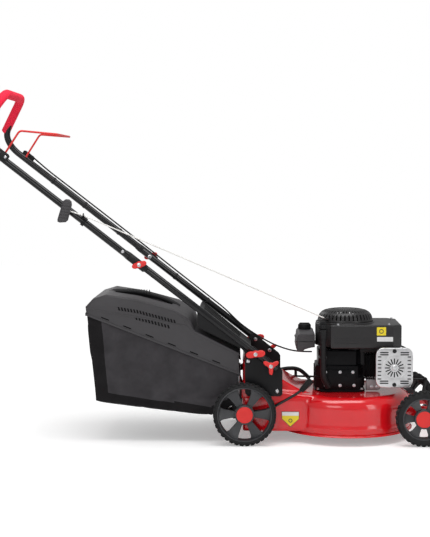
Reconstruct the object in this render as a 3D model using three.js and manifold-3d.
// A walk-behind petrol lawn mower with a rear grass bag, as separate named pieces.
// Millimetres, +X forward, +Y to the machine's left, +Z up. While it is built, the crankshaft's axis is
// x = 0, y = 0 and the ground is z = 0. At the end the group moves to the middle of its own base.
import * as THREE from "three";
import { mergeVertices } from "three/addons/utils/BufferGeometryUtils.js";
import Module from "manifold-3d";

const wasm = await Module();
wasm.setup();

// ---- driving dimensions -------------------------------------------------------------------------
const GAP = 0.3; // between pieces that touch
const RUN = 0.4; // radial clearance of a turning shaft

const REAR_WHEEL_D = 203;
const FRONT_WHEEL_D = 178;
const WHEEL_W = 38;
const WHEEL_GAP = 3; // between a crank arm and the tyre
const REAR_HUB_X = -335;
const WHEELBASE = 573;
const CRANK_ARM = 45; // height crank, pivot to hub
const AXLE_D = 12;
const ARM_GAP = 4; // between the deck's side and a crank arm
const LUG = 62; // link rod's lug on each axle
const LINK_ROD_D = 7;

const SHEET = 3; // deck metal
const RIM_Z = 28;
const DECK_TOP_Z = 152;
const SKIRT_R = 218;
const FLANGE = 6;
const SIDE_Y = 168; // half width over the deck's flat sides
const DECK_REAR_X = -345;
const TUNNEL_Y = 130;
const TUNNEL_FLOOR_Z = 118;
const TUNNEL_EXIT_Z = 268;

const BRACKET_T = 3;
const TUBE_R = 11;
const TUBE_GAP = 1; // between a bracket and its tube
const LOWER_TUBE_FLARE = 10; // further out at the fold than at the bracket
const TAB_T = 8; // flattened end of the upper tube
const STUD_R = 3.5;
const FOLD_LOW = [-250.5, 257];
const FOLD_HIGH = [-669.6, 583.7];
const UPPER_KNOB_AT = 62.7; // along the tube, from the lower bolt
const HANDLE_BEND_X = -1156;
const LOOP_Y = 140;
const LOOP_TOP = [-1106, 1131];
const FOAM_T = 4;
const CABLE_LIFT = 6.5; // cable's middle above the tube's skin
const FLAP_AXIS = [-322, 288];
const FLAP_ROD_R = 4;

const BLADE_R = 203;
const SHAFT_R = 12.5;
const HOUSING_TOP_Z = 378;
const DOME_R = 92;
const DOME_H = 43;

const BAG_Y = 165;
const LID_LIP = 3; // the lid's overhang past the fabric
const CLOTH = 2.5;
const MOUTH_X = -357;

// ---- places that follow from them ----------------------------------------------------------------
const ARM_Y = [SIDE_Y + ARM_GAP, SIDE_Y + ARM_GAP + AXLE_D];
const ARM_MID_Y = (ARM_Y[0] + ARM_Y[1]) / 2;
const WHEEL_INNER_Y = ARM_Y[1] + WHEEL_GAP; // from the centre plane to a tyre's inner face
const LEVER_Y = WHEEL_INNER_Y + 3;
const LOWER_TUBE_Y = SIDE_Y + BRACKET_T + TUBE_R + TUBE_GAP;
const UPPER_TUBE_Y = LOWER_TUBE_Y + LOWER_TUBE_FLARE + 2 * TUBE_R;
const FOAM_R = TUBE_R + FOAM_T;
const LID_Y = BAG_Y + LID_LIP;

// ---- colours ------------------------------------------------------------------------------------
const finish = (color, roughness, metalness) => ({ color, roughness, metalness });
const RED_PAINT = finish(0xc8101c, 0.25, 0.3);
const RED_PLASTIC = finish(0xe03030, 0.5, 0);
const BLACK_PAINT = finish(0x141416, 0.35, 0.4);
const BLACK_PLASTIC = finish(0x26262a, 0.6, 0);
const GREY_PLASTIC = finish(0x3a3a40, 0.6, 0);
const RUBBER = finish(0x1c1c1e, 0.85, 0);
const BARE_METAL = finish(0xc8c8cc, 0.35, 0.9);
const CAST_METAL = finish(0x9a9ca0, 0.5, 0.8);
const CLOTH_GREY = finish(0x323036, 0.95, 0);
const FOAM_RED = finish(0xd21e28, 0.9, 0);
const ROPE_WHITE = finish(0xe8e6e0, 0.9, 0);

// ---- solids -------------------------------------------------------------------------------------
function solid(geometry) {
  const bare = geometry.index ? geometry.toNonIndexed() : geometry.clone();
  bare.deleteAttribute("normal");
  bare.deleteAttribute("uv");
  const merged = mergeVertices(bare, 1e-3);
  const triVerts = new Uint32Array(merged.index.array);
  const vertProperties = merged.attributes.position.array;
  const made = new wasm.Manifold(new wasm.Mesh({ numProp: 3, vertProperties, triVerts }));
  if (made.volume() > 0) return made;
  for (let i = 0; i < triVerts.length; i += 3) {
    [triVerts[i + 1], triVerts[i + 2]] = [triVerts[i + 2], triVerts[i + 1]];
  }
  return new wasm.Manifold(new wasm.Mesh({ numProp: 3, vertProperties, triVerts }));
}

function geometryOf(made) {
  const { numProp, vertProperties, triVerts } = made.getMesh();
  const position = new Float32Array((vertProperties.length / numProp) * 3);
  for (let i = 0; i < position.length / 3; i++) {
    for (let k = 0; k < 3; k++) position[3 * i + k] = vertProperties[numProp * i + k];
  }
  const geometry = new THREE.BufferGeometry();
  geometry.setAttribute("position", new THREE.BufferAttribute(position, 3));
  geometry.setIndex(new THREE.BufferAttribute(new Uint32Array(triVerts), 1));
  return mergeVertices(geometry, 1e-3);
}

const join = (...solids) => solids.reduce((all, one) => all.add(one));
const cut = (body, ...tools) => tools.reduce((left, tool) => left.subtract(tool), body);
const vec = (p) => new THREE.Vector3(...p);

function box([x0, x1], [y0, y1], [z0, z1]) {
  const block = new THREE.BoxGeometry(x1 - x0, y1 - y0, z1 - z0);
  return solid(block.translate((x0 + x1) / 2, (y0 + y1) / 2, (z0 + z1) / 2));
}

function rod(from, to, radius, sides = 16, endRadius = radius) {
  const way = vec(to).sub(vec(from));
  const bar = new THREE.CylinderGeometry(endRadius, radius, way.length(), sides);
  bar.translate(0, way.length() / 2, 0);
  const turn = new THREE.Quaternion().setFromUnitVectors(new THREE.Vector3(0, 1, 0), way.normalize());
  return solid(bar.applyQuaternion(turn).translate(...from));
}

// A profile of [radius, height] points turned about an upright axis, or about an axle along Y.
function turned(profile, [x, y, z], sides = 32, upright = true) {
  const points = profile.map(([r, h]) => new THREE.Vector2(r, h));
  const made = new THREE.LatheGeometry(points, sides);
  if (upright) made.rotateX(Math.PI / 2);
  return solid(made.translate(x, y, z));
}

// A side outline of [x, z] points, from y0 to y1.
function sidePlate(outline, y0, y1) {
  const shape = new THREE.Shape(outline.map(([x, z]) => new THREE.Vector2(x, z)));
  const made = new THREE.ExtrudeGeometry(shape, { depth: y1 - y0, bevelEnabled: false });
  return solid(made.rotateX(Math.PI / 2).translate(0, y1, 0));
}

// A plan outline of [x, y] points, from z0 to z1.
function floorPlate(outline, z0, z1) {
  const shape = new THREE.Shape(outline.map(([x, y]) => new THREE.Vector2(x, y)));
  const made = new THREE.ExtrudeGeometry(shape, { depth: z1 - z0, bevelEnabled: false });
  return solid(made.translate(0, 0, z0));
}

// A line through chosen points, so that a straight run takes one step and a bend takes several.
class Line extends THREE.Curve {
  constructor(points) {
    super();
    this.points = points;
  }
  getPointAt(t) {
    return this.points[Math.round(t * (this.points.length - 1))].clone();
  }
  getTangentAt(t) {
    const i = Math.round(t * (this.points.length - 1));
    const before = this.points[Math.max(0, i - 1)];
    const after = this.points[Math.min(this.points.length - 1, i + 1)];
    return after.clone().sub(before).normalize();
  }
}

// Straight runs between the points, with a bend of the given reach at each inner point.
function route(points, reach, bendSteps = 5) {
  const line = [vec(points[0])];
  for (let i = 1; i < points.length - 1; i++) {
    const [last, corner, next] = [vec(points[i - 1]), vec(points[i]), vec(points[i + 1])];
    const into = corner.clone().lerp(last, Math.min(0.45, reach / corner.distanceTo(last)));
    const out = corner.clone().lerp(next, Math.min(0.45, reach / corner.distanceTo(next)));
    line.push(...new THREE.QuadraticBezierCurve3(into, corner, out).getPoints(bendSteps));
  }
  return new Line([...line, vec(points[points.length - 1])]);
}
const smooth = (points, steps) =>
  new Line(new THREE.CatmullRomCurve3(points.map(vec)).getSpacedPoints(steps));

function tube(path, radius, sides) {
  const ring = [];
  for (let i = 0; i < sides; i++) {
    const turn = (2 * Math.PI * i) / sides;
    ring.push(new THREE.Vector2(radius * Math.cos(turn), radius * Math.sin(turn)));
  }
  const options = { steps: path.points.length - 1, bevelEnabled: false, extrudePath: path };
  return solid(new THREE.ExtrudeGeometry(new THREE.Shape(ring), options));
}

const circle = (x, y, radius, sides = 24, start = 0, sweep = 2 * Math.PI) => {
  const points = [];
  const last = sweep < 2 * Math.PI ? sides : sides - 1;
  for (let i = 0; i <= last; i++) {
    const turn = start + (sweep * i) / sides;
    points.push([x + radius * Math.cos(turn), y + radius * Math.sin(turn)]);
  }
  return points;
};

const mower = new THREE.Group();
function piece(name, made, look) {
  const mesh = new THREE.Mesh(geometryOf(made), new THREE.MeshStandardMaterial(look));
  mesh.name = name;
  mower.add(mesh);
}

const SIDES = [["right", -1], ["left", 1]];
// A span in y given outwards from the centre plane, on the machine's right (-1) or left (1).
const across = (side, inner, outer) => (side < 0 ? [-outer, -inner] : [inner, outer]);
const crossRod = (side, [x, z], inner, outer, radius, sides = 12) =>
  rod([x, side * inner, z], [x, side * outer, z], radius, sides);

// ---- places worked out from the driving dimensions ------------------------------------------------
const frontHubX = REAR_HUB_X + WHEELBASE;
const crankDrop = 3.5; // a hub lies this far below its crank's pivot at rest
const rearPivot = [REAR_HUB_X + CRANK_ARM, REAR_WHEEL_D / 2 + crankDrop];
const frontPivot = [frontHubX + CRANK_ARM, FRONT_WHEEL_D / 2 + crankDrop];
const tubeLean = Math.atan2(FOLD_HIGH[1] - FOLD_LOW[1], FOLD_HIGH[0] - FOLD_LOW[0]);
const alongTube = (distance, [x, z] = FOLD_LOW) => [
  x + distance * Math.cos(tubeLean),
  z + distance * Math.sin(tubeLean),
];
const foldSpan = Math.hypot(FOLD_HIGH[0] - FOLD_LOW[0], FOLD_HIGH[1] - FOLD_LOW[1]);
const upperKnob = alongTube(UPPER_KNOB_AT);
const bracketY = SIDE_Y + GAP;

// ---- deck ---------------------------------------------------------------------------------------
const SHOULDER = [[0, 24], [5, 11], [15, 3], [28, 0]]; // how far in, and how far below the top
function bowl(radius, bottom, top, lip) {
  const shoulder = SHOULDER.map(([inwards, below]) => [radius - inwards, top - below]);
  const rim = lip ? [[radius + lip, bottom], [radius + lip, bottom + SHEET]] : [[radius, bottom]];
  return turned([[0, bottom], ...rim, [radius, bottom + SHEET + 2], ...shoulder, [0, top]], [0, 0, 0], 36);
}

const TUNNEL_ROOF = [[-300, 250], [-221, 206], [-150, 166], [-110, 150]];
function tunnel(rear, wall) {
  const roof = TUNNEL_ROOF.map(([x, z]) => [x, z - wall]);
  const outline = [[rear, TUNNEL_FLOOR_Z + wall], [rear, TUNNEL_EXIT_Z - wall], ...roof];
  outline.push([TUNNEL_ROOF[3][0], TUNNEL_FLOOR_Z + wall]);
  return sidePlate(outline, -TUNNEL_Y + wall, TUNNEL_Y - wall);
}

function deckShell() {
  const skirt = bowl(SKIRT_R, RIM_Z, DECK_TOP_Z, FLANGE);
  const sideBottom = RIM_Z + 8;
  const sides = box([DECK_REAR_X, 0], [-SIDE_Y, SIDE_Y], [sideBottom, DECK_TOP_Z]);
  const noseEarY = 113;
  const ears = [-1, 1].map((side) => {
    const outline = [[SKIRT_R - 40, 70], [frontPivot[0] + 10, 80], [frontPivot[0] + 10, 108]];
    outline.push([SKIRT_R - 40, 118]);
    return sidePlate(outline, ...across(side, noseEarY - SHEET, noseEarY + SHEET));
  });
  const rearEars = [-1, 1].map((side) => {
    const outline = [[DECK_REAR_X, DECK_TOP_Z - 5], [DECK_REAR_X + 32, DECK_TOP_Z - 5]];
    outline.push([DECK_REAR_X + 32, 212], [DECK_REAR_X + 22, 222], [DECK_REAR_X, 190]);
    return sidePlate(outline, ...across(side, SIDE_Y - SHEET, SIDE_Y));
  });
  const outside = join(skirt, sides, tunnel(DECK_REAR_X, 0), ...ears, ...rearEars);
  const chamber = bowl(SKIRT_R - SHEET, RIM_Z - 1, DECK_TOP_Z - SHEET, 0);
  const bay = box([DECK_REAR_X - 1, 0], [SHEET - SIDE_Y, SIDE_Y - SHEET], [0, DECK_TOP_Z - SHEET]);
  const rearBay = cut(bay, bowl(SKIRT_R, -1, DECK_TOP_Z + 30, 0), tunnel(DECK_REAR_X - 2, 0));
  const shaftHole = rod([0, 0, DECK_TOP_Z - 20], [0, 0, DECK_TOP_Z + 9], 30, 24);
  const axleHoles = [
    rod([rearPivot[0], -300, rearPivot[1]], [rearPivot[0], 300, rearPivot[1]], AXLE_D / 2 + RUN),
    rod([frontPivot[0], -300, frontPivot[1]], [frontPivot[0], 300, frontPivot[1]], AXLE_D / 2 + RUN),
  ];
  return cut(outside, chamber, rearBay, tunnel(DECK_REAR_X - 2, SHEET), shaftHole, ...axleHoles);
}
piece("deck_shell", deckShell(), RED_PAINT);

function bracket(side) {
  const outline = [[-334, 160], [-320, 154], [-219, 154], [-213, 160], [-213, 240], [-219, 250]];
  outline.push([-306, 318], [-320, 312], [-334, 273]);
  const plate = sidePlate(outline, ...across(side, bracketY, bracketY + BRACKET_T));
  const boltHole = crossRod(side, FOLD_LOW, SIDE_Y - 9, SIDE_Y + 9, STUD_R + RUN);
  const slotReach = 24;
  const turn = tubeLean - Math.PI / 2;
  const slotR = STUD_R + RUN + 0.6;
  const nose = crossRod(side, upperKnob, SIDE_Y - 9, SIDE_Y + 9, slotR);
  // The stud leaves on an arc round the lower bolt, so the slot's near side falls away.
  const fallAway = UPPER_KNOB_AT - Math.sqrt(UPPER_KNOB_AT ** 2 - slotReach ** 2);
  const corner = (out, over) => [
    upperKnob[0] + out * Math.cos(turn) + over * Math.sin(turn),
    upperKnob[1] + out * Math.sin(turn) - over * Math.cos(turn),
  ];
  const slotLine = [corner(0, slotR), corner(slotReach, slotR + fallAway)];
  slotLine.push(corner(slotReach, -slotR), corner(0, -slotR));
  const slot = sidePlate(slotLine, ...across(side, SIDE_Y - 9, SIDE_Y + 9));
  const rodHole = crossRod(side, FLAP_AXIS, SIDE_Y - 9, SIDE_Y + 9, FLAP_ROD_R + RUN);
  return cut(plate, boltHole, nose, slot, rodHole);
}
for (const [name, side] of SIDES) piece(`handle_bracket_${name}`, bracket(side), BLACK_PAINT);

// A low black bar with a post on the deck's left shoulder, to lift the machine by.
const BAR_Y = SIDE_Y - 20;
const barPath = route([[-262, BAR_Y, 166], [-215, BAR_Y, 192], [-160, BAR_Y, 196], [-112, BAR_Y, 160]], 26);
const barPost = rod([-160, BAR_Y, DECK_TOP_Z + GAP], [-160, BAR_Y, 190], 5);
const barFoot = rod([-160, BAR_Y, DECK_TOP_Z + GAP], [-160, BAR_Y, DECK_TOP_Z + 8], 12);
piece("deck_lift_bar", join(tube(barPath, 7, 10), barPost, barFoot), BLACK_PLASTIC);

// ---- axles and height lever -----------------------------------------------------------------------
const LUG_LEAN = (80 * Math.PI) / 180; // upright half way through the lever's travel
const lugTip = ([x, z]) => [x + LUG * Math.cos(LUG_LEAN), z + LUG * Math.sin(LUG_LEAN)];
function crankAxle(pivot, hub, stubEnd) {
  const shaft = rod([pivot[0], -ARM_Y[1], pivot[1]], [pivot[0], ARM_Y[1], pivot[1]], AXLE_D / 2);
  const ends = [-1, 1].map((side) => {
    const arm = rod([pivot[0], side * ARM_MID_Y, pivot[1]], [hub[0], side * ARM_MID_Y, hub[1]], AXLE_D / 2, 12);
    return join(arm, crossRod(side, hub, ARM_Y[0], stubEnd, AXLE_D / 2, 12));
  });
  const tip = lugTip(pivot);
  const lug = rod([pivot[0], ARM_Y[0], pivot[1]], [pivot[0], ARM_Y[0] + SHEET, pivot[1]], 9);
  const flat = 5.5;
  const strip = sidePlate(
    [
      [pivot[0] - flat, pivot[1]],
      [pivot[0] + flat, pivot[1]],
      [tip[0] + flat, tip[1]],
      [tip[0] - flat, tip[1]],
    ],
    ARM_Y[0], ARM_Y[0] + SHEET,
  );
  const pin = crossRod(1, tip, ARM_Y[0], ARM_Y[0] + 11, 2.5);
  return join(shaft, ...ends, lug, strip, pin);
}
const rearHub = [REAR_HUB_X, REAR_WHEEL_D / 2];
const frontHub = [frontHubX, FRONT_WHEEL_D / 2];
const stubEnd = WHEEL_INNER_Y + WHEEL_W - 9;
const LEVER_GRIP = [[-157, 171], [-122, 210]];
const leverKnee = [-236, 124];
const leverPath = route([
  [rearPivot[0], -ARM_MID_Y, rearPivot[1]],
  [leverKnee[0], -ARM_MID_Y - 2, leverKnee[1]],
  [LEVER_GRIP[0][0], -LEVER_Y, LEVER_GRIP[0][1]],
  [LEVER_GRIP[1][0] - 8, -LEVER_Y, LEVER_GRIP[1][1] - 9],
], 20);
const LEVER_R = 4.5;
piece("rear_axle", join(crankAxle(rearPivot, rearHub, stubEnd), tube(leverPath, LEVER_R, 10)), BLACK_PAINT);
piece("front_axle", crankAxle(frontPivot, frontHub, stubEnd), BLACK_PAINT);

const gripStart = [LEVER_GRIP[0][0] + 3, -LEVER_Y, LEVER_GRIP[0][1] + 3];
const gripEnd = [LEVER_GRIP[1][0], -LEVER_Y, LEVER_GRIP[1][1]];
const gripBody = rod(gripStart, gripEnd, 9, 14, 13);
const gripBore = tube(leverPath, LEVER_R + GAP, 10);
piece("height_lever_grip", cut(gripBody, gripBore), BLACK_PLASTIC);

function linkRod() {
  const [rear, front] = [lugTip(rearPivot), lugTip(frontPivot)];
  const y = ARM_Y[0] + 7;
  const run = rod([rear[0] + 5, y, rear[1]], [front[0] - 5, y, front[1]], LINK_ROD_D / 2, 10);
  const eyes = [rear, front].map((at) => crossRod(1, at, y - 3, y + 3, 7, 16));
  const holes = [rear, front].map((at) => crossRod(1, at, y - 9, y + 9, 2.5 + RUN));
  return cut(join(run, ...eyes), ...holes);
}
piece("height_link_rod", linkRod(), BLACK_PAINT);

// ---- wheels -----------------------------------------------------------------------------------------
const SPOKES = 6;
function wheel(name, side, hub, diameter, rimRadius) {
  const radius = diameter / 2;
  const [y0, y1] = across(side, WHEEL_INNER_Y, WHEEL_INNER_Y + WHEEL_W);
  const crown = 5;
  const tyre = [[rimRadius + GAP, y0 + 3], [radius - crown, y0], [radius, y0 + crown]];
  tyre.push([radius, y1 - crown], [radius - crown, y1], [rimRadius + GAP, y1 - 3]);
  tyre.push([rimRadius + GAP, y0 + 3]);
  piece(`${name}_tyre`, turned(tyre, [hub[0], 0, hub[1]], 28, false), RUBBER);
  const wall = 5;
  const ring = [[rimRadius - wall, y0 + 5], [rimRadius, y0 + 4], [rimRadius, y1 - 4]];
  ring.push([rimRadius - wall, y1 - 5], [rimRadius - wall, y0 + 5]);
  const rim = turned(ring, [hub[0], 0, hub[1]], 28, false);
  const outerFace = side < 0 ? y0 : y1;
  const capDepth = 7;
  const hubR = 30;
  const core = crossRod(side, hub, WHEEL_INNER_Y + 2, WHEEL_INNER_Y + WHEEL_W - 1, hubR, 18);
  const blades = [];
  for (let i = 0; i < SPOKES; i++) {
    const turn = (2 * Math.PI * i) / SPOKES;
    const point = (r, half) => [
      hub[0] + r * Math.cos(turn) - half * Math.sin(turn),
      hub[1] + r * Math.sin(turn) + half * Math.cos(turn),
    ];
    const tip = rimRadius - wall / 2;
    const outline = [point(hubR - 3, -9), point(tip, -0.2 * rimRadius), point(tip, 0.2 * rimRadius)];
    outline.push(point(hubR - 3, 9));
    blades.push(sidePlate(outline, ...across(side, WHEEL_INNER_Y + 12, WHEEL_INNER_Y + 18)));
  }
  const bore = crossRod(side, hub, WHEEL_INNER_Y - 5, stubEnd + 1, AXLE_D / 2 + RUN, 12);
  const capR = 26.5;
  const outerY = WHEEL_INNER_Y + WHEEL_W;
  const pocket = crossRod(side, hub, outerY - capDepth, outerY + 5, capR + GAP, 18);
  piece(`${name}_rim`, cut(join(rim, core, ...blades), bore, pocket), BLACK_PLASTIC);
  const cap = crossRod(side, hub, WHEEL_INNER_Y + WHEEL_W - capDepth + GAP, Math.abs(outerFace), capR, 18);
  piece(`${name}_hub_cap`, cap, RED_PLASTIC);
}
for (const [name, side] of SIDES) {
  wheel(`rear_wheel_${name}`, side, rearHub, REAR_WHEEL_D, 87);
  wheel(`front_wheel_${name}`, side, frontHub, FRONT_WHEEL_D, 67);
}

// ---- crankshaft and blade ---------------------------------------------------------------------------
const ADAPTER_Z = [74, 104];
const BLADE_T = 4;
const bladeZ = ADAPTER_Z[0] - GAP - BLADE_T;
const FLYWHEEL_Z = [320, 346];
const shaft = join(
  rod([0, 0, ADAPTER_Z[0] + 6], [0, 0, FLYWHEEL_Z[1] + 16], SHAFT_R),
  rod([0, 0, 196], [0, 0, 226], 30, 20),
);
const boltR = 5;
const boltHole = rod([0, 0, 0], [0, 0, 140], boltR + GAP, 12);
piece("crankshaft", cut(shaft, boltHole), CAST_METAL);
const adapter = join(
  rod([0, 0, ADAPTER_Z[0]], [0, 0, ADAPTER_Z[1]], 20, 20),
  rod([0, 0, ADAPTER_Z[0]], [0, 0, ADAPTER_Z[0] + 5], 32, 20),
);
piece("blade_adapter", cut(adapter, rod([0, 0, 0], [0, 0, 140], SHAFT_R + GAP, 20)), CAST_METAL);
const bladeHalf = 24;
const bladePlan = [[-BLADE_R, -bladeHalf], [BLADE_R, -bladeHalf + 10]];
bladePlan.push([BLADE_R, bladeHalf], [-BLADE_R, bladeHalf - 10]);
const reach = 0.68 * BLADE_R;
const wings = [-1, 1].map((end) => {
  const outline = [[end * reach, end * -bladeHalf * 0.9], [end * BLADE_R, end * (-bladeHalf + 10)]];
  outline.push([end * BLADE_R, end * (-bladeHalf + 18)], [end * reach, end * (-bladeHalf + 12)]);
  return floorPlate(outline, bladeZ + 1, bladeZ + 18);
});
piece("blade", cut(join(floorPlate(bladePlan, bladeZ, bladeZ + BLADE_T), ...wings), boltHole), BARE_METAL);
const boltHead = rod([0, 0, bladeZ - GAP - 9], [0, 0, bladeZ - GAP], 11, 6);
piece("blade_bolt", join(boltHead, rod([0, 0, bladeZ - 5], [0, 0, 138], boltR, 12)), BARE_METAL);

function flywheel() {
  const [z0, z1] = FLYWHEEL_Z;
  const disc = rod([0, 0, z0], [0, 0, z1 - 12], 74, 24);
  const fins = [];
  for (let i = 0; i < 8; i++) {
    const turn = (Math.PI * i) / 4;
    const fin = new THREE.BoxGeometry(26, 3, z1 - z0).translate(70, 0, (z0 + z1) / 2);
    fins.push(solid(fin.rotateZ(turn)));
  }
  return cut(join(disc, ...fins), rod([0, 0, z0 - 5], [0, 0, z1 + 5], SHAFT_R + GAP, 16));
}
piece("flywheel", flywheel(), CAST_METAL);

// ---- engine -----------------------------------------------------------------------------------------
const CASE_TOP_Z = 290;
const caseOutline = [[-104, -60], [-84, -84], [40, -84], [62, -60]];
caseOutline.push([62, 62], [40, 76], [-84, 76], [-104, 56]);
function crankcase() {
  const lower = floorPlate(caseOutline, DECK_TOP_Z + GAP, 240);
  const upper = floorPlate(caseOutline.map(([x, y]) => [x * 0.86, y * 0.88]), 238, CASE_TOP_Z);
  const shaftBore = rod([0, 0, 100], [0, 0, 330], SHAFT_R + RUN, 20);
  const sump = rod([0, 0, 186], [0, 0, 236], 30 + 4, 20);
  return cut(join(lower, upper), shaftBore, sump);
}
piece("crankcase", crankcase(), BLACK_PAINT);

const CYL_X = [62 + GAP, 148];
function cylinder() {
  const barrel = rod([CYL_X[0], -5, 232], [CYL_X[1], -5, 232], 34, 12);
  const fins = [];
  for (let x = CYL_X[0] + 6; x < CYL_X[1] - 2; x += 16) {
    fins.push(box([x, x + 2.5], [-52, 44], [188, 280]));
  }
  return join(barrel, ...fins, box([CYL_X[1] - 5, CYL_X[1]], [-52, 44], [188, 280]));
}
piece("cylinder", cylinder(), CAST_METAL);
const headX = [CYL_X[1] + GAP, CYL_X[1] + 36];
piece("rocker_cover", box(headX, [-46, 38], [194, 274]), BLACK_PAINT);
const plugBody = rod([headX[1] + GAP, -30, 232], [headX[1] + 16, -30, 232], 7, 6);
const plugBoot = rod([headX[1] + 12, -30, 232], [headX[1] + 36, -30, 238], 10, 14);
piece("spark_plug", join(plugBody, plugBoot), BLACK_PLASTIC);

const GUARD_X = [89, 209];
const GUARD_Z = [179, 309];
const GUARD_Y = -142;
piece("muffler", box([100, 198], [GUARD_Y + 6, -58], [192, 297]), CAST_METAL);
function rounded([x0, x1], [z0, z1], radius) {
  const corner = (x, z, start) => circle(x, z, radius, 5, start, Math.PI / 2);
  return [
    ...corner(x1 - radius, z1 - radius, 0), ...corner(x0 + radius, z1 - radius, Math.PI / 2),
    ...corner(x0 + radius, z0 + radius, Math.PI), ...corner(x1 - radius, z0 + radius, 1.5 * Math.PI),
  ];
}
function mufflerGuard() {
  const face = sidePlate(rounded(GUARD_X, GUARD_Z, 24), GUARD_Y - 10, GUARD_Y + 4);
  const inside = rounded([GUARD_X[0] + 3, GUARD_X[1] - 3], [GUARD_Z[0] + 3, GUARD_Z[1] - 3], 21);
  const hollow = sidePlate(inside, GUARD_Y - 7, GUARD_Y + 5);
  const slots = [];
  for (const z of [GUARD_Z[0] + 16, GUARD_Z[0] + 30, GUARD_Z[1] - 20]) {
    for (const x of [GUARD_X[0] + 20, GUARD_X[0] + 72]) {
      slots.push(box([x, x + 30], [GUARD_Y - 12, GUARD_Y], [z, z + 5]));
    }
  }
  return cut(face, hollow, ...slots);
}
piece("muffler_guard", mufflerGuard(), BARE_METAL);

const HOUSING_Z = 300;
const housingBox = (inset) => [
  [-54 + inset, -114 + inset], [150 - inset, -114 + inset], [179 - inset, -84 + inset],
  [179 - inset, 84 - inset], [150 - inset, 110 - inset], [-54 + inset, 110 - inset],
];
function blowerHousing() {
  const shellOf = (inset, z0, z1) =>
    join(floorPlate(housingBox(inset), z0, z1), rod([0, 0, z0], [0, 0, z1], 100 - inset, 40));
  const outer = shellOf(0, HOUSING_Z, HOUSING_TOP_Z);
  const inner = shellOf(SHEET, HOUSING_Z - 1, HOUSING_TOP_Z - SHEET);
  return cut(outer, inner, rod([0, 0, 350], [0, 0, 400], 62, 32));
}
piece("blower_housing", blowerHousing(), BLACK_PLASTIC);

const domeZ = HOUSING_TOP_Z + GAP;
const dome = [[0, DOME_H - 3], [DOME_R - 34, DOME_H - 8], [DOME_R - 14, DOME_H - 22], [DOME_R - 3, 0]];
const domeOuter = [[DOME_R, 0], [DOME_R - 2, 12], [DOME_R - 12, DOME_H - 16]];
domeOuter.push([DOME_R - 32, DOME_H - 4], [0, DOME_H]);
piece("starter_cover", turned([...dome, ...domeOuter], [0, 0, domeZ], 28), BLACK_PLASTIC);

const TANK_X = [-166, -103];
const TANK_Z = [284, 346];
piece("fuel_tank", box(TANK_X, [-74, 104], TANK_Z), GREY_PLASTIC);
const TANK_CAP = [-134, 48];
const fuelCap = join(
  rod([...TANK_CAP, TANK_Z[1] + GAP], [...TANK_CAP, TANK_Z[1] + 14], 22, 20),
  box(
    [TANK_CAP[0] - 18, TANK_CAP[0] + 18],
    [TANK_CAP[1] - 3, TANK_CAP[1] + 3],
    [TANK_Z[1] + 12, TANK_Z[1] + 19],
  ),
);
piece("fuel_cap", fuelCap, BLACK_PLASTIC);

const OIL_TOP = [-80, -118, 366];
const oilPath = route([[-60, -90, 176], [-78, -100, 200], OIL_TOP], 20);
piece("oil_filler_tube", cut(tube(oilPath, 11, 12), floorPlate(caseOutline, 100, 240.5)), BLACK_PLASTIC);
const oilRidge = box([OIL_TOP[0] - 15, OIL_TOP[0] + 15], [OIL_TOP[1] - 3, OIL_TOP[1] + 3], [376, 392]);
const oilDisc = rod([OIL_TOP[0], OIL_TOP[1], OIL_TOP[2] + 2], [OIL_TOP[0], OIL_TOP[1], 379], 15, 20);
const oilCap = join(oilDisc, oilRidge);
piece("oil_cap", oilCap, BLACK_PLASTIC);

const FILTER_X = [30, 138];
const FILTER_Y = [110 + GAP, 158];
piece("air_filter_cover", box(FILTER_X, FILTER_Y, [296, 368]), BLACK_PLASTIC);

// ---- rear flap and grass bag --------------------------------------------------------------------------
const FLAP_Y = 158;
function rearFlap() {
  const outline = [[-326, 283], [-318, 283], [-316, 294], [-484, 431]];
  outline.push([-489, 425], [-486, 377], [-480, 372], [-345, 306]);
  const outer = sidePlate(outline, -FLAP_Y, FLAP_Y);
  const inside = [[-330, 280], [-340, 306], [-481, 419], [-500, 419], [-500, 330], [-340, 270]];
  const hollow = sidePlate(inside, SHEET - FLAP_Y, FLAP_Y - SHEET);
  const rodEnd = SIDE_Y + BRACKET_T + 3;
  const hinge = rod([FLAP_AXIS[0], -rodEnd, FLAP_AXIS[1]], [FLAP_AXIS[0], rodEnd, FLAP_AXIS[1]], FLAP_ROD_R, 12);
  return join(cut(outer, hollow), hinge);
}
piece("rear_flap", rearFlap(), BLACK_PLASTIC);

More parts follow.
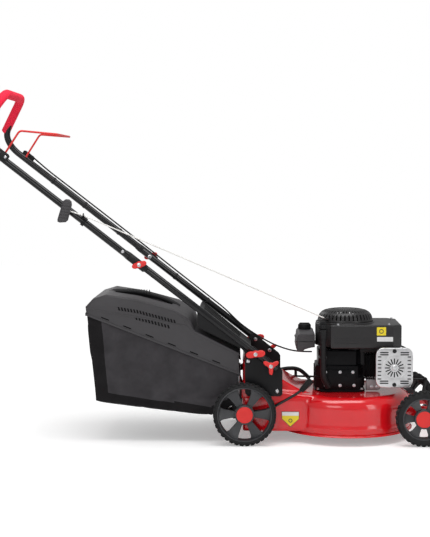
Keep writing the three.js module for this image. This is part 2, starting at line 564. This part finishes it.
const SEAM = [[-848, 414], [-350, 221]];
const seamFall = (SEAM[1][1] - SEAM[0][1]) / (SEAM[1][0] - SEAM[0][0]);
const seamZ = (x) => SEAM[0][1] + (x - SEAM[0][0]) * seamFall;
const LID_TOP = [[-851, 443], [-826, 470], [-783, 483], [-686, 468], [-566, 436], [-512, 402], [-497, 366]];
const LID_FRONT = [-352, 292];
const RECESS_X = [-768, -578]; // finger well under the carrying grip
const RECESS_Z = [446, 402];
const RECESS_Y = 45;
function fingerWell(grow) {
  const [rear, front] = [RECESS_X[0] - grow, RECESS_X[1] + grow];
  const outline = [[rear, 600], [rear, RECESS_Z[0] - grow], [front, RECESS_Z[1] - grow], [front, 600]];
  return sidePlate(outline, -RECESS_Y - grow, RECESS_Y + grow);
}
function bagLid() {
  const outer = sidePlate([SEAM[0], ...LID_TOP, LID_FRONT, SEAM[1]], -LID_Y, LID_Y);
  const roof = LID_TOP.map(([x, z], i) => [x + (i < 2 ? SHEET : 0) - (i > 5 ? SHEET : 0), z - SHEET]);
  const mouth = LID_FRONT[0] + 12;
  const inside = [[SEAM[0][0] + SHEET, 380], ...roof, [mouth, LID_FRONT[1] - 2 * SHEET], [mouth, 190]];
  const hollow = cut(sidePlate(inside, SHEET - LID_Y, LID_Y - SHEET), fingerWell(SHEET));
  const gripLine = [[-800, 0, 464], [-775, 0, 479], [-688, 0, 476.5], [-604, 0, 453], [-556, 0, 426]];
  const gripPath = route(gripLine, 14);
  return join(cut(outer, fingerWell(0), hollow), cut(tube(gripPath, 9, 10), hollow));
}
piece("bag_lid", bagLid(), GREY_PLASTIC);

const clothTop = (x) => seamZ(x) - 1;
const BAG_SIDE = [[-845, clothTop(-845)], [-818, 138], [-443, 92], [MOUTH_X, 132]];
BAG_SIDE.push([MOUTH_X, clothTop(MOUTH_X)]);
function bagCloth() {
  const outer = sidePlate(BAG_SIDE, -BAG_Y, BAG_Y);
  const inside = [[-845 + CLOTH, 460], [-818 + CLOTH, 138 + CLOTH], [-443, 92 + CLOTH]];
  inside.push([MOUTH_X - CLOTH, 132 + CLOTH], [MOUTH_X - CLOTH, 300]);
  const hollow = sidePlate(inside, CLOTH - BAG_Y, BAG_Y - CLOTH);
  const mouth = box([MOUTH_X - 9, MOUTH_X + 9], [-128, 128], [146, 400]);
  return cut(outer, hollow, mouth);
}
piece("bag_cloth", bagCloth(), CLOTH_GREY);

function bagFrame() {
  const x = [MOUTH_X + GAP, MOUTH_X + 5];
  const plate = box(x, [-146, 146], [134, 216]);
  return cut(plate, box([x[0] - 5, x[1] + 5], [-126, 126], [150, 300]));
}
piece("bag_frame", bagFrame(), BARE_METAL);

// ---- handle ---------------------------------------------------------------------------------------------
function lowerTube(side) {
  const start = alongTube(-22);
  const end = alongTube(foldSpan + 34);
  const outY = LOWER_TUBE_Y + LOWER_TUBE_FLARE;
  const bar = rod([start[0], side * LOWER_TUBE_Y, start[1]], [end[0], side * outY, end[1]], TUBE_R, 16);
  const holes = [FOLD_LOW, upperKnob, FOLD_HIGH].map((at) => crossRod(side, at, 150, 250, STUD_R + RUN));
  return cut(bar, ...holes);
}
for (const [name, side] of SIDES) piece(`lower_tube_${name}`, lowerTube(side), BLACK_PAINT);

const loopLow = [-1176, 1012];
const lineZ = (x) => FOLD_HIGH[1] + (x - FOLD_HIGH[0]) * Math.tan(tubeLean);
const handleHalf = (side) => [
  [-704, side * UPPER_TUBE_Y, lineZ(-704)],
  [HANDLE_BEND_X, side * UPPER_TUBE_Y, lineZ(HANDLE_BEND_X)],
  [loopLow[0], side * (UPPER_TUBE_Y - 10), loopLow[1]],
  [LOOP_TOP[0], side * LOOP_Y, LOOP_TOP[1]],
];
const handlePath = route([...handleHalf(-1), ...handleHalf(1).reverse()], 34);
const tabY = UPPER_TUBE_Y - TUBE_R + GAP;
function upperHandle() {
  const tabs = [-1, 1].map((side) => {
    const half = 13;
    const normal = [half * Math.sin(tubeLean), -half * Math.cos(tubeLean)];
    const corners = [[-28, 1], [52, 1], [52, -1], [-28, -1]].map(([d, s]) => {
      const at = alongTube(d, FOLD_HIGH);
      return [at[0] + s * normal[0], at[1] + s * normal[1]];
    });
    return sidePlate(corners, ...across(side, tabY + 0.4, tabY + 0.4 + TAB_T));
  });
  const holes = [-1, 1].map((side) => crossRod(side, FOLD_HIGH, 198, 250, STUD_R + RUN));
  return cut(join(tube(handlePath, TUBE_R, 12), ...tabs), ...holes);
}
piece("upper_handle", upperHandle(), BLACK_PAINT);

const foamStart = (side) => [-1174.5, side * (UPPER_TUBE_Y - 10), 1022];
const foamPath = route([
  foamStart(-1), [LOOP_TOP[0], -LOOP_Y, LOOP_TOP[1]], [LOOP_TOP[0], LOOP_Y, LOOP_TOP[1]], foamStart(1),
], 34);
const foam = cut(tube(foamPath, FOAM_R, 14), tube(handlePath, TUBE_R + GAP, 12));
piece("foam_grip", foam, FOAM_RED);

function lobedKnob(at, side, inner, lobes, size, turn) {
  const y = [inner + GAP, inner + 16];
  const boss = crossRod(side, at, y[0], y[1], 11, 18);
  const arms = [];
  for (let i = 0; i < lobes; i++) {
    const way = turn + (2 * Math.PI * i) / lobes;
    const tip = [at[0] + size * Math.cos(way), at[1] + size * Math.sin(way)];
    const [s, c] = [Math.sin(way), Math.cos(way)];
    const outline = [[at[0] - 9 * s, at[1] + 9 * c], [at[0] + 9 * s, at[1] - 9 * c]];
    outline.push([tip[0] + 5.5 * s, tip[1] - 5.5 * c], [tip[0] - 5.5 * s, tip[1] + 5.5 * c]);
    arms.push(sidePlate(outline, ...across(side, y[0] + 3, y[1])));
  }
  return join(boss, ...arms);
}
const knobFace = LOWER_TUBE_Y + TUBE_R + 1.8;
for (const [name, side] of SIDES) {
  const stud = (at, from, to) => crossRod(side, at, from, to, STUD_R, 12);
  const nut = crossRod(side, FOLD_LOW, SIDE_Y - 7, SIDE_Y - GAP, 7, 6);
  const star = lobedKnob(FOLD_LOW, side, knobFace, 3, 25, Math.PI / 6);
  piece(`handle_star_knob_${name}`, join(star, stud(FOLD_LOW, SIDE_Y - 6, knobFace + 5), nut), RED_PLASTIC);
  const bar = lobedKnob(upperKnob, side, knobFace, 2, 29, 0);
  piece(`handle_bar_knob_${name}`, join(bar, stud(upperKnob, SIDE_Y - 6, knobFace + 5)), RED_PLASTIC);
  const wing = lobedKnob(FOLD_HIGH, side, tabY + TAB_T + 0.4, 2, 22, Math.PI * 0.1);
  const foldBolt = crossRod(side, FOLD_HIGH, 175, 181, 8, 16);
  piece(`fold_wing_nut_${name}`, join(wing, stud(FOLD_HIGH, 178, 220), foldBolt), RED_PLASTIC);
}

// ---- control bail, starter grip and rope ----------------------------------------------------------
const BAIL_R = 3.3;
const BAIL_AXIS = [-1102, 934];
const bailHalf = (side) => [
  [BAIL_AXIS[0], side * 203.4, BAIL_AXIS[1]],
  [BAIL_AXIS[0], side * 193, BAIL_AXIS[1]],
  [-1052, side * 190, 1010],
  [-940, side * 138, 1000],
];
const bailPath = route([...bailHalf(-1), ...bailHalf(1).reverse()], 14);
piece("control_bail", tube(bailPath, BAIL_R, 8), RED_PAINT);

const GUIDE = [-845, -UPPER_TUBE_Y - TUBE_R - 5, 741];
const ROPE_R = 1.8;
function ropeGuide() {
  const bar = [GUIDE[0], lineZ(GUIDE[0])];
  const [x, y, z] = GUIDE;
  const eye = rod([x - 3, y, z + 1.4], [x + 3, y, z - 1.4], 8, 16);
  const clampWay = [4 * Math.cos(tubeLean), 4 * Math.sin(tubeLean)];
  const clamp = rod(
    [bar[0] - clampWay[0], -UPPER_TUBE_Y, bar[1] - clampWay[1]],
    [bar[0] + clampWay[0], -UPPER_TUBE_Y, bar[1] + clampWay[1]], TUBE_R + 4, 20,
  );
  const hole = rod([GUIDE[0] - 20, GUIDE[1], GUIDE[2] + 9], [GUIDE[0] + 20, GUIDE[1], GUIDE[2] - 9], 4, 12);
  const barHole = rod(
    [-780, -UPPER_TUBE_Y, lineZ(-780)], [-920, -UPPER_TUBE_Y, lineZ(-920)], TUBE_R + GAP, 20,
  );
  const stem = rod([x, -UPPER_TUBE_Y - 9, bar[1] + 9], [x, y + 3, z - 4], 3, 10);
  return cut(join(eye, stem, clamp), hole, barHole);
}
piece("rope_guide", ropeGuide(), BARE_METAL);

const GRIP_INNER_Y = UPPER_TUBE_Y + TUBE_R + 4; // clear of the tube
const STARTER_GRIP_Y = [-GRIP_INNER_Y - 22, -GRIP_INNER_Y];
function starterGrip() {
  const outline = [[-925, 722], [-897, 721], [-880, 777], [-884, 790], [-897, 793], [-908, 786]];
  return sidePlate(outline, ...STARTER_GRIP_Y);
}
piece("starter_grip", starterGrip(), GREY_PLASTIC);

const OUTLET = [-66, -74, 394];
const ropeSplitX = -662;
const ropeAt = (x) => {
  const k = (x - OUTLET[0]) / (GUIDE[0] - OUTLET[0]);
  return [x, OUTLET[1] + k * (GUIDE[1] - OUTLET[1]), OUTLET[2] + k * (GUIDE[2] - OUTLET[2])];
};
const rope = (from, to) => tube(route([from, to], 1), ROPE_R, 8);
piece("starter_rope_lower", rope(ropeAt(OUTLET[0] - 8), ropeAt(ropeSplitX)), ROPE_WHITE);
piece("starter_rope_upper", rope(ropeAt(ropeSplitX - GAP), ropeAt(GUIDE[0] + 1)), ROPE_WHITE);
const tailStart = [GUIDE[0] - 0.5, GUIDE[1], GUIDE[2] + 0.4];
const tailEnd = [-885.3, STARTER_GRIP_Y[1] - 8.5, 754.5];
piece("starter_rope_tail", rope(tailStart, tailEnd), ROPE_WHITE);

// ---- brake cable, clipped along the left tubes -----------------------------------------------------
const CABLE_R = 2.6;
const cableLift = TUBE_R + CABLE_LIFT; // above the tube's middle, square to it
const onTube = (x, y) => [
  x + cableLift * Math.sin(tubeLean),
  y,
  lineZ(x) - cableLift * Math.cos(tubeLean),
];
const upperRoute = [[-1092, 196, 944], onTube(-1050, 206), onTube(-980, 213)];
upperRoute.push(onTube(-850, 215), onTube(-730, 211), onTube(-676, 206));
piece("brake_cable_upper", tube(smooth(upperRoute, 22), CABLE_R, 8), RUBBER);
const lowerY = (x) => LOWER_TUBE_Y + (LOWER_TUBE_FLARE * (x - FOLD_LOW[0])) / (FOLD_HIGH[0] - FOLD_LOW[0]);
const lowerRoute = [
  onTube(-675.4, 206), onTube(-640, 199), onTube(-560, lowerY(-560)),
  onTube(-470, lowerY(-470)), onTube(-415, 184),
  [-361, 172, 356], [-316, 158, 323.5], [-249, 137, 286.5], [-205, 117, 271.5],
  [-172, 99, 265], [-140, 80, 264], [-108, 66, 266],
];
piece("brake_cable_lower", tube(smooth(lowerRoute, 34), CABLE_R, 8), RUBBER);

// ---- the whole object, on the middle of its own base ------------------------------------------------
const extent = new THREE.Box3().setFromObject(mower, true);
const middle = extent.getCenter(new THREE.Vector3());
mower.position.set(-middle.x, -middle.y, -extent.min.z);

export default mower;
